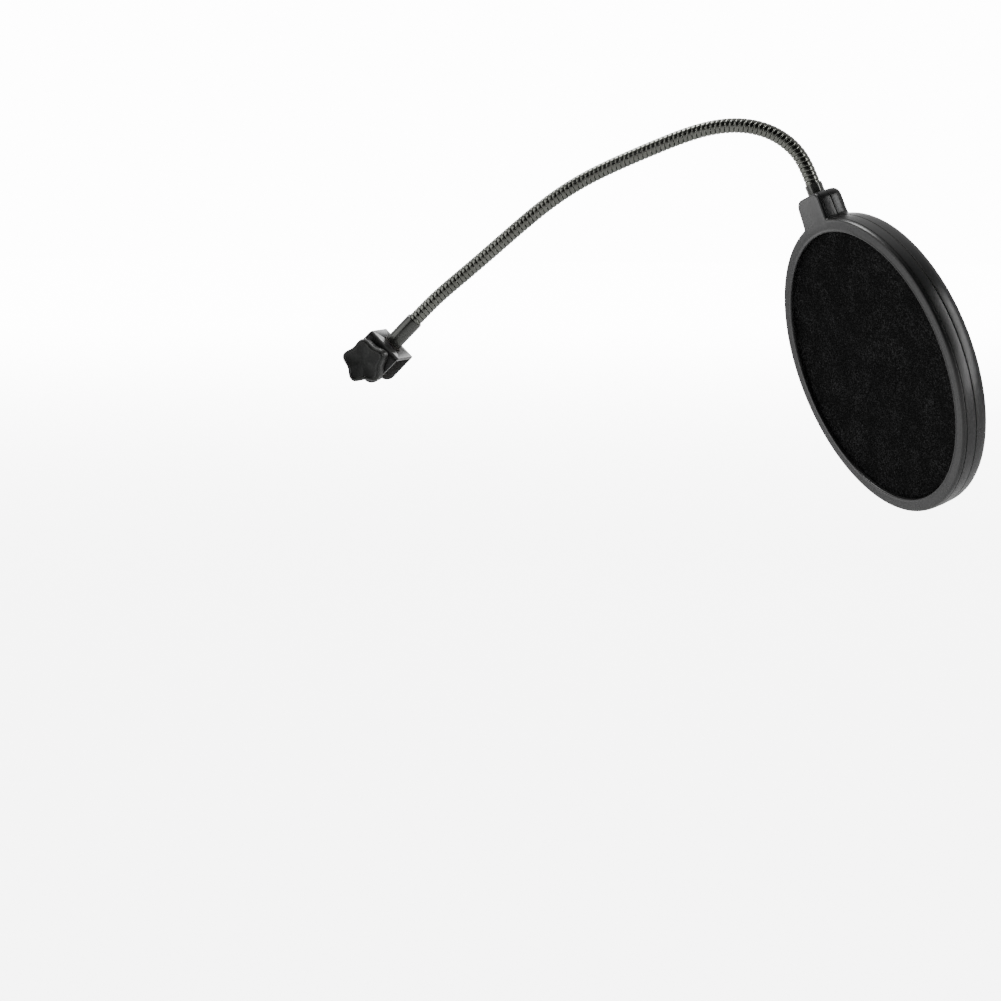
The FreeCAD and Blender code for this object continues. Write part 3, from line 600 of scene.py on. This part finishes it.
def knob():
    """Five-lobed knob: its outline is a circle with a five-fold cosine, carried through a profile.

    Each row of the profile is (distance inside the outline, height); towards the middle of the dished
    face the outline fades into a circle.
    """
    valley, crest, lobes, phase = 9.6, 12.0, 5, math.radians(65)
    segments = 240
    angle = np.arange(segments) * TAU / segments
    wave = np.cos(lobes * (angle - phase))
    outline = (crest + valley) / 2 + (crest - valley) / 2 * (wave - 0.12 * (1 - wave ** 2))
    rows = soften([
        (7.0, KNOB_BACK + 0.6), (6.2, KNOB_BACK), (0.8, KNOB_BACK), (0.0, KNOB_BACK + 0.9),
        (0.0, KNOB_FRONT - 1.5), (0.45, KNOB_FRONT - 0.5), (1.15, KNOB_FRONT), (1.75, KNOB_FRONT - 0.02),
        (2.05, KNOB_FRONT - 0.4), (2.6, KNOB_FRONT - 0.5), (6.5, KNOB_FRONT - 0.75)], 0.25)
    inset, height = rows[:, 0:1], rows[:, 1:2]
    radius = outline - inset
    grid = np.stack([radius * np.cos(angle), radius * np.sin(angle), height + 0 * angle], axis=-1)
    dish = np.linspace(0.85, 0.04, 8)[:, None, None]
    inner = grid[-1] * dish
    inner[:, :, 2] = KNOB_FRONT - 0.75 - 0.18 * (1 - dish[:, :, 0])
    blend = (1 - dish) ** 0.5
    flat_radius = np.linalg.norm(inner[:, :, :2], axis=-1, keepdims=True)
    round_radius = flat_radius.mean(axis=1, keepdims=True)
    inner[:, :, :2] *= 1 + blend * (round_radius / flat_radius - 1)
    piece = skin("knob", SCREW(np.concatenate([grid, inner])))
    bore(piece, [cylinder_cutter(SCREW, 3.0, KNOB_BACK - 1, SCREW_END + 0.05)])
    return dress(piece, "knob_plastic", "clamp_knob")


# ------------------------------------------------------------------ neck mounting

def pivot_screw():
    """Low-headed screw: round rows outside, and rows that follow a hexagon inside its socket.

    Each row is (radius at every angle, height).  The hexagon's radius is its half width over the cosine
    of the angle from the middle of the nearest side.
    """
    segments, half_width = 72, 1.5
    angle = np.arange(segments) * TAU / segments
    hexagon = half_width / np.cos((angle + math.pi / 6) % (math.pi / 3) - math.pi / 6)
    round_one = np.ones(segments)
    rows = [(hexagon * 0.05, -3.15), (hexagon * 0.97, -3.15), (hexagon, -3.2), (hexagon, -4.05),
            (hexagon * 1.06, -4.25), (round_one * 3.8, -4.25), (round_one * 4.25, -4.05),
            (round_one * 4.4, -3.7), (round_one * 4.4, -2.75), (round_one * 4.3, -2.65),
            (round_one * 2.45, -2.65), (round_one * 2.45, 7.9), (round_one * 0.05, 8.0)]
    return dress(skin("pivot_screw", PIVOT(turned_rows(rows, angle))), "zinc_steel", "neck_screw")


def spring_washer():
    """Split washer: a flat oblong section carried round all but a few degrees, rising a little."""
    inner, outer, low, thick, rise = 2.5, 4.4, -2.63, 0.45, 0.12
    angle = np.radians(np.linspace(4, 352, 80))[:, None]
    high = low + thick
    section = soften([(inner, low), (outer, low), (outer, high), (inner, high)], 0.08, closed=True)
    height = section[:, 1] + rise * angle / TAU
    grid = np.stack([section[:, 0] * np.cos(angle), section[:, 0] * np.sin(angle), height], axis=-1)
    return dress(skin("spring_washer", PIVOT(grid)), "zinc_steel", "neck_lock_washer")


def fibre_ring():
    piece = lathe("fibre_ring", PIVOT, [(2.5, 0.05), (4.9, 0.05), (4.9, 0.55), (2.5, 0.55)], 0.1, ring=True)
    return dress(piece, "fibre", "fibre_washer")


def lower_sleeve():
    """Turned ferrule: a narrow bore for the screw below, a wide socket for the neck above."""
    piece = lathe("lower_sleeve", PIVOT, [
        (2.45, 0.55), (4.5, 0.55), (4.5, 18.0), (3.8, 18.0), (3.8, 8.5), (2.45, 8.5)], 0.4, 96, ring=True)
    return dress(piece, "ferrule_black", "lower_ferrule")


# ------------------------------------------------------------------ gooseneck

LINK = 16.0
# Turns of the outer wire and of the inner coil in one link
TURNS, COIL_TURNS = 6.4, 12.8
# The joints, with three more points past each end, so that the line has its end directions
link_step = LINK * MM
start_points = [bend_points[0] - WEB_WAY * link_step * k for k in (3, 2, 1)]
end_points = [bend_points[-1] - boss_way * link_step * k for k in (1, 2, 3)]
NECK_POINTS = np.array(start_points + bend_points + end_points)
# Place of knot 0 in that list
KNOT_SHIFT = 2


def neck_line(knot):
    """The neck's middle line and its unit direction, at knot values where 1 is the first bend.

    It is the uniform cubic B-spline whose control points are the joints of the links.
    """
    cell = np.floor(knot).astype(int)
    f = (knot - cell)[..., None]
    first, second, third, fourth = (NECK_POINTS[cell + KNOT_SHIFT + k] for k in (-1, 0, 1, 2))
    point = ((1 - f) ** 3 * first + (3 * f ** 3 - 6 * f ** 2 + 4) * second
             + (-3 * f ** 3 + 3 * f ** 2 + 3 * f + 1) * third + f ** 3 * fourth) / 6
    slope = (-(1 - f) ** 2 * first + (3 * f ** 2 - 4 * f) * second
             + (-3 * f ** 2 + 2 * f + 1) * third + f ** 2 * fourth) / 2
    return point, slope / np.linalg.norm(slope, axis=-1, keepdims=True)


def winding(name, section, turns, start, end, steps_per_turn):
    """A wire wound round the neck's line, left-handed, from one knot value to another.

    section holds (radius, way along the line) in millimetres.  At each step the section stands at the
    angle -turns * knot, and each of its points is carried from its own place on the line.
    """
    steps = int(round((end - start) * turns * steps_per_turn)) + 1
    knot = np.linspace(start, end, steps)[:, None]
    angle = -TAU * turns * knot[..., None]
    point, way = neck_line(knot + section[:, 1] / LINK)
    across = np.cross(Y, way)
    radius = section[:, 0][:, None] * MM
    return skin(name, point + radius * (np.cos(angle) * across + np.sin(angle) * Y), sharp_degrees=60)


def wrap_section():
    """The outer wire: nearly flat outside, falling at its sides as the sixth power of the way across.

    It is a hair narrower than its pitch.
    """
    radius, groove, inside = 3.75, 0.42, 3.0
    half = 0.49 * LINK / TURNS
    across = np.array([-1, -0.97, -0.9, -0.78, -0.6, -0.35, 0, 0.35, 0.6, 0.78, 0.9, 0.97, 1])
    top = np.stack([radius - groove * across ** 6, half * across], axis=-1)
    return np.concatenate([top, [(inside, half), (inside, -half)]])


def coil_section():
    """The inner spring wire: a small circle that just clears its neighbours."""
    turn = np.arange(8) * TAU / 8
    return np.stack([2.25 + 0.45 * np.cos(turn), 0.58 * np.sin(turn)], axis=-1)


def gooseneck():
    """Both windings in stretches, one at each joint and one at each end.

    A stretch at an end rides on its link; one at a joint is curved through the joint and rides on neither of
    the two links that meet there.
    """
    bodies = [JOINTS["neck_bend_%02d" % (i + 1)]["parent"] for i in range(BEND_COUNT)]
    bodies.append(JOINTS["neck_bend_%02d" % BEND_COUNT]["child"])
    windings = (("wrap", wrap_section(), TURNS, 40), ("coil", coil_section(), COIL_TURNS, 20))
    for kind, section, turns, steps in windings:
        for k in range(BEND_COUNT + 2):
            start = k - 0.5
            # The last stretch ends a little way inside the upper ferrule
            end = k + (0.2 if k == BEND_COUNT + 1 else 0.5)
            piece = winding("%s_%02d" % (kind, k), section, turns, start, end, steps)
            dress(piece, "neck_" + kind, "neck_%s_%02d" % (kind, min(k + 1, BEND_COUNT + 1)))
            if k == 0:
                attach(piece, bodies[0])
            elif k == BEND_COUNT + 1:
                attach(piece, bodies[-1])
            else:
                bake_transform(piece)


# ------------------------------------------------------------------ screen

RING, OPENING, WALL_BORE = 77.5, 70.6, 75.5
# From the middle plane: the outer faces and the inner faces of the flanges
HALF, FLANGE = 7.5, 5.6
# Half of the line between the two halves of the frame
PARTING = 0.15
BOSS_TOP, BOSS_CORNER, BOSS_ROOT = 91.0, 5.0, 1.2
HOOP_OUTER, HOOP_BORE, KNIT_RADIUS = 75.4, 72.2, 75.35


def frame_outline(half_root, half_top):
    """Outline of the frame with its boss, in the screen's x and z, and its outward normals.

    A circle runs from one side of the boss round to the other.  A small arc joins it to the boss's
    straight side, and a larger one turns each top corner.
    """
    top, corner, root_round = BOSS_TOP, BOSS_CORNER, BOSS_ROOT
    centre_x = half_root + root_round
    centre_z = math.sqrt((RING + root_round) ** 2 - centre_x ** 2)
    contact = math.atan2(centre_x, centre_z)
    sweep = np.linspace(math.pi, contact, 150)
    circle = np.stack([RING * np.sin(sweep), RING * np.cos(sweep)], axis=-1)
    turn = np.linspace(math.atan2(-centre_z, -centre_x) + TAU, math.pi, 7)[1:]
    root = np.stack([centre_x + root_round * np.cos(turn), centre_z + root_round * np.sin(turn)], axis=-1)
    rise = np.linspace(0, 1, 7)[1:-1, None]
    side = root[-1] + rise * (np.array([half_top, top - corner]) - root[-1])
    quarter = np.linspace(0, math.pi / 2, 10)
    shoulder = np.stack([half_top + corner * (np.cos(quarter) - 1), top + corner * (np.sin(quarter) - 1)],
                        axis=-1)
    crown = np.stack([np.linspace(half_top - corner, 0, 8)[1:], np.full(7, top)], axis=-1)
    right = np.concatenate([circle, root, side, shoulder, crown])
    left = right[-2:0:-1] * (-1, 1)
    outline = np.concatenate([right, left])
    tangent = np.roll(outline, -1, axis=0) - np.roll(outline, 1, axis=0)
    normal = np.stack([tangent[:, 1], -tangent[:, 0]], axis=-1)
    normal /= np.linalg.norm(normal, axis=1, keepdims=True)
    normal *= np.sign((normal * outline).sum(axis=1, keepdims=True)[0])
    return outline, normal


def frame_half(name, outline, normal, outer_rows, inner_rows, lean):
    """One half of the frame: a closed section carried round the outline.

    outer_rows are (distance inside the outline, depth) and inner_rows (radius, depth).  The inner rows
    lie on the way from the screen's centre to the innermost of the outer ones.  lean moves the face back
    with distance beyond the circle, so that the boss has a little draft.
    """
    beyond = np.maximum(np.linalg.norm(outline, axis=1) - RING, 0)
    direction = outline - normal * outer_rows[-1][0]
    direction /= np.linalg.norm(direction, axis=1, keepdims=True)
    rows = []
    for inset, depth in outer_rows:
        flat = outline - normal * inset
        rows.append((flat, depth + lean * beyond * abs(depth) / HALF))
    for radius, depth in inner_rows:
        rows.append((direction * radius, np.full(len(outline), depth)))
    grid = np.array([np.stack([flat[:, 0], depth, flat[:, 1]], axis=-1) for flat, depth in rows])
    return skin(name, HEAD(grid), ring=True, sharp_degrees=30)


SCREW_X, SCREW_Z, SCREW_SEAT = 7.4, 86.0, 4.2
SLEEVE, SLEEVE_LOW = 4.4, 79.2


def boss_bore():
    """What the halves of the boss leave free for the upper ferrule."""
    return cylinder_cutter(HEAD, SLEEVE + 0.02, SLEEVE_LOW - 0.1, BOSS_TOP + 2, 64)


def boss_screw_place(side):
    """Frame of one screw of the boss: z towards its head, from the middle plane."""
    return Place(HEAD([side * SCREW_X, 0, SCREW_Z]), side_way, -boss_way, rear_way)


def frame_front():
    """Front half: crisp edges, and one fine line round its side."""
    outline, normal = frame_outline(12.7, 12.2)
    outer = [(0.35, -PARTING), (0.06, -0.45), (0.02, -1.2), (0.04, -4.9), (0.1, -5.25), (0.42, -5.4),
             (0.42, -5.6), (0.12, -5.75), (0.16, -6.2), (0.34, -6.85), (0.62, -7.25), (1.05, -7.45),
             (1.5, -7.5), (2.1, -7.47)]
    inner = [(74.6, -7.47), (72.6, -7.42), (71.9, -7.36), (71.62, -7.42), (71.35, -7.5), (71.05, -7.5),
             (70.75, -7.38), (OPENING, -7.1), (OPENING, -FLANGE), (WALL_BORE, -FLANGE), (WALL_BORE, -PARTING)]
    piece = frame_half("frame_front", outline, normal, outer, inner, 0.05)
    bore(piece, [boss_bore()])
    return dress(piece, "frame_plastic", "front_ring")


def frame_rear():
    """Rear half: well rounded at the back, with a well in the boss over each screw's head."""
    outline, normal = frame_outline(12.2, 12.2)
    outer = [(0.5, PARTING), (0.22, 0.4), (0.2, 1.0), (0.24, 2.2), (0.32, 3.6), (0.5, 4.8), (0.85, 5.8),
             (1.4, 6.6), (2.15, 7.2), (3.1, 7.5)]
    inner = [(73.4, 7.5), (71.5, 7.5), (71.0, 7.42), (70.7, 7.25), (OPENING, 6.9), (OPENING, FLANGE),
             (WALL_BORE, FLANGE), (WALL_BORE, PARTING)]
    piece = frame_half("frame_rear", outline, normal, outer, inner, 0.0)
    wells = [cylinder_cutter(boss_screw_place(side), 2.1, SCREW_SEAT, HALF + 1.5, 40) for side in (-1, 1)]
    bore(piece, [boss_bore()] + wells)
    return dress(piece, "frame_plastic", "rear_ring")


def hoop(name, low, high, node):
    """A plain hoop inside the frame, from one level to another along the screen's axis."""
    corners = [(HOOP_BORE, low), (HOOP_OUTER, low), (HOOP_OUTER, high), (HOOP_BORE, high)]
    piece = lathe(name, WHEEL, corners, 0.3, 160, ring=True)
    return dress(piece, "hoop_plastic", node)


def knit(name, level, node, rests_on):
    """A stretched disc of knitted net.

    It is a polar grid whose rings bound bands of equal area.  Its depth is a level plus a small wave, the
    product of two sines and one sine more, which fades out at the hoop.  The uv map is the flat disc in
    metres, and a modifier gives the thickness.
    """
    radius, rows, columns, slack = KNIT_RADIUS, 60, 180, 0.09
    ring = radius * np.sqrt((np.arange(rows) + 1) / rows)[:, None]
    angle = np.arange(columns) * TAU / columns
    x, y = ring * np.cos(angle), ring * np.sin(angle)
    held = 1 - (ring / radius) ** 6
    depth = level + slack * held * (np.sin(x / 9.1 + 0.7) * np.sin(y / 11.3) + 0.5 * np.sin((x + y) / 5.7))
    points = np.concatenate([[[0, 0, level]], np.stack([x, y, depth], axis=-1).reshape(-1, 3)])
    index = 1 + np.arange(rows * columns).reshape(rows, columns)
    around = np.roll(index, -1, axis=1)
    quads = np.stack([index[:-1], index[1:], around[1:], around[:-1]], axis=-1).reshape(-1, 4).tolist()
    fan = np.stack([0 * index[0], index[0], around[0]], axis=-1).tolist()
    mesh = bpy.data.meshes.new(name)
    mesh.from_pydata([tuple(p) for p in WHEEL(points)], [], quads + fan)
    mesh.update()
    corners = np.zeros(len(mesh.loops), int)
    mesh.loops.foreach_get("vertex_index", corners)
    mesh.uv_layers.new(name="cloth").data.foreach_set("uv", (points[corners, :2] * MM).ravel())
    mesh.shade_smooth()
    piece = bpy.data.objects.new(name, mesh)
    bpy.context.scene.collection.objects.link(piece)
    wall = piece.modifiers.new("thickness", "SOLIDIFY")
    wall.thickness = 0.3 * MM
    wall.offset = 0.0
    dress(piece, "mesh_nylon", node)
    return piece


def upper_sleeve():
    """Turned ferrule on the neck's end, closed below.

    The two points between its ends lie on its straight wall; they keep the wall's shading straight.
    """
    socket, floor, top = 3.8, 84.5, 96
    piece = lathe("upper_sleeve", HEAD, [
        (0, SLEEVE_LOW), (SLEEVE, SLEEVE_LOW), (SLEEVE, 81), (SLEEVE, 83), (SLEEVE, top), (socket, top),
        (socket, floor), (0, floor)], 0.3, 96)
    return dress(piece, "ferrule_black", "upper_ferrule")


def boss_screw_pair():
    """Two pan heads with cross recesses: each row's radius dips towards the four arms of the cross."""
    segments = 64
    angle = np.arange(segments) * TAU / segments
    cross = np.minimum(0.28 / np.maximum(np.minimum(np.abs(np.sin(angle)), np.abs(np.cos(angle))), 0.2), 1.15)
    plain = np.ones(segments)
    rows = [(cross * 0.04, 4.75), (cross * 0.8, 4.75), (cross, 5.45), (plain * 1.35, 5.5), (plain * 1.7, 5.3),
            (plain * 1.88, 4.95), (plain * 1.88, SCREW_SEAT), (plain * 1.2, SCREW_SEAT), (plain * 1.2, -4.6),
            (plain * 0.7, -5.2), (plain * 0.02, -5.2)]
    points, faces = [], []
    for side in (-1, 1):
        one = skin("boss_screw", boss_screw_place(side)(turned_rows(rows, angle)))
        base = len(points)
        points += [tuple(v.co) for v in one.data.vertices]
        faces += [[base + i for i in face.vertices] for face in one.data.polygons]
        bpy.data.objects.remove(one)
    return dress(mesh_piece("boss_screw_pair", np.array(points), faces), "black_screw", "boss_screws")


# ------------------------------------------------------------------ putting it together

for piece in (bracket(), jaw_pad(), insert()):
    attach(piece, "clamp")
for piece in (foot(), foot_face()):
    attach(piece, "pressure_jaw")
for piece in (threaded_screw(), knob()):
    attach(piece, "screw")
for piece in (pivot_screw(), spring_washer(), fibre_ring(), lower_sleeve()):
    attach(piece, "neck_01")
gooseneck()
head_pieces = [frame_front(), frame_rear(), upper_sleeve(), boss_screw_pair(),
               hoop("hoop_front", -5.08, -3.02, "front_mesh_hoop"),
               hoop("hoop_spacer", -3.0, 3.0, "spacer_hoop"),
               hoop("hoop_rear", 3.02, 5.08, "rear_mesh_hoop")]
for piece in head_pieces:
    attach(piece, "head")
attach(knit("knit_front", -5.35, "front_mesh", ["frame_front", "hoop_front"]), "head")
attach(knit("knit_rear", 5.35, "rear_mesh", ["frame_rear", "hoop_rear"]), "head")


# ------------------------------------------------------------------ camera, floor and light

CAMERA_PLACE = (0.41835, -1.2166, 0.07687)
CAMERA_LENS, CAMERA_SENSOR = 86, 36
CAMERA_AZIMUTH, CAMERA_ELEVATION = math.radians(16.18), math.radians(6.83)
# The way from what the camera looks at back to the camera
camera_back = Vector((math.sin(CAMERA_AZIMUTH) * math.cos(CAMERA_ELEVATION),
                      -math.cos(CAMERA_AZIMUTH) * math.cos(CAMERA_ELEVATION), math.sin(CAMERA_ELEVATION)))


def make_camera():
    data = bpy.data.cameras.new("camera")
    data.lens = CAMERA_LENS
    data.sensor_width = CAMERA_SENSOR
    data.clip_start, data.clip_end = 0.05, 50
    camera = bpy.data.objects.new("camera", data)
    camera.location = CAMERA_PLACE
    camera.rotation_mode = "QUATERNION"
    camera.rotation_quaternion = (-camera_back).to_track_quat("-Z", "Y")
    bpy.context.scene.collection.objects.link(camera)
    bpy.context.scene.camera = camera


def softbox(name, place, target, width, height, power):
    """A rectangular lamp that faces its target and is not seen itself."""
    data = bpy.data.lights.new(name, "AREA")
    data.shape = "RECTANGLE"
    data.size, data.size_y = width, height
    data.energy = power
    data.spread = math.pi
    light = bpy.data.objects.new(name, data)
    light.location = place
    light.rotation_mode = "QUATERNION"
    light.rotation_quaternion = (Vector(target) - Vector(place)).to_track_quat("-Z", "Y")
    light.visible_camera = False
    bpy.context.scene.collection.objects.link(light)


# Brightness of the tent to the camera, and of the floor's own glow close by
WHITE, FLOOR_NEAR = 14.0, 6.0
FLOOR_DROP, FLOOR_HALF = 0.16, 14.0


def make_floor():
    """A plain pale floor, well below the hanging object; to the eye it glows into the tent with distance."""
    low = cad_box[0].z - FLOOR_DROP
    mesh = bpy.data.meshes.new("floor")
    corners = [(x * FLOOR_HALF, y * FLOOR_HALF, low) for x, y in ((-1, -1), (1, -1), (1, 1), (-1, 1))]
    mesh.from_pydata(corners, [], [(0, 1, 2, 3)])
    material = bpy.data.materials.new("pale_floor")
    material.use_nodes = True
    tree = material.node_tree
    shader = tree.nodes["Principled BSDF"]
    where = add(tree, "ShaderNodeTexCoord")
    noise = add(tree, "ShaderNodeTexNoise", inputs={"Scale": 6.0})
    tree.links.new(where.outputs["Object"], noise.inputs["Vector"])
    tree.links.new(mix_colour(tree, noise.outputs["Fac"], (0.93, 0.93, 0.93, 1), (0.95, 0.95, 0.95, 1)),
                   shader.inputs["Base Color"])
    shader.inputs["Roughness"].default_value = 0.9
    path = add(tree, "ShaderNodeLightPath")
    far = add(tree, "ShaderNodeMapRange", interpolation_type="SMOOTHSTEP",
              inputs={"From Min": 1.2, "From Max": 7.0, "To Min": FLOOR_NEAR, "To Max": WHITE})
    tree.links.new(path.outputs["Ray Length"], far.inputs["Value"])
    glow = add(tree, "ShaderNodeEmission")
    tree.links.new(far.outputs["Result"], glow.inputs["Strength"])
    both = add(tree, "ShaderNodeAddShader")
    tree.links.new(shader.outputs[0], both.inputs[0])
    tree.links.new(glow.outputs[0], both.inputs[1])
    seen = add(tree, "ShaderNodeMixShader")
    tree.links.new(path.outputs["Is Camera Ray"], seen.inputs[0])
    tree.links.new(shader.outputs[0], seen.inputs[1])
    tree.links.new(both.outputs[0], seen.inputs[2])
    tree.links.new(seen.outputs[0], tree.nodes["Material Output"].inputs["Surface"])
    mesh.materials.append(material)
    floor = bpy.data.objects.new("floor", mesh)
    bpy.context.scene.collection.objects.link(floor)


def make_world():
    """A white tent for the camera; for light and reflections, a tent that is dark on the camera's side."""
    world = bpy.data.worlds.new("tent")
    bpy.context.scene.world = world
    world.use_nodes = True
    tree = world.node_tree
    tree.nodes.clear()
    out = add(tree, "ShaderNodeOutputWorld")
    seen = add(tree, "ShaderNodeBackground", inputs={"Color": (1, 1, 1, 1), "Strength": WHITE})
    felt = add(tree, "ShaderNodeBackground", inputs={"Strength": 1.0})
    which = add(tree, "ShaderNodeMixShader")
    path = add(tree, "ShaderNodeLightPath")
    where = add(tree, "ShaderNodeTexCoord")
    towards = add(tree, "ShaderNodeVectorMath", operation="DOT_PRODUCT")
    towards.inputs[1].default_value = camera_back
    dark = add(tree, "ShaderNodeMapRange", interpolation_type="SMOOTHSTEP",
               inputs={"From Min": 0.6, "From Max": -0.35, "To Min": 0.01, "To Max": 0.8})
    tree.links.new(where.outputs["Generated"], towards.inputs[0])
    tree.links.new(towards.outputs["Value"], dark.inputs["Value"])
    tree.links.new(dark.outputs["Result"], felt.inputs["Color"])
    tree.links.new(path.outputs["Is Camera Ray"], which.inputs[0])
    tree.links.new(felt.outputs[0], which.inputs[1])
    tree.links.new(seen.outputs[0], which.inputs[2])
    tree.links.new(which.outputs[0], out.inputs["Surface"])


make_camera()
make_floor()
make_world()
middle_of_all = (cad_box[0] + cad_box[1]) / 2
softbox("top_light", (-0.3, 0.15, 0.85), middle_of_all, 0.4, 0.4, 5.5)
softbox("left_light", (-0.95, -0.75, 0.35), middle_of_all, 1.0, 1.0, 5.0)
softbox("back_light", (0.1, 0.8, 0.25), middle_of_all, 0.4, 0.3, 0.9)
# A small lamp where the camera sees its reflection in the face of the boss
boss_point = Vector(HEAD([0, -HALF, 84]))
front_way = Vector(-rear_way)
from_camera = (boss_point - bpy.context.scene.camera.location).normalized()
softbox("boss_light", boss_point + 0.3 * from_camera.reflect(front_way) + 0.04 * Vector(boss_way), boss_point,
        0.09, 0.09, 0.045)
softbox("right_light", (1.0, -0.25, 0.25), middle_of_all, 0.12, 0.9, 3.5)
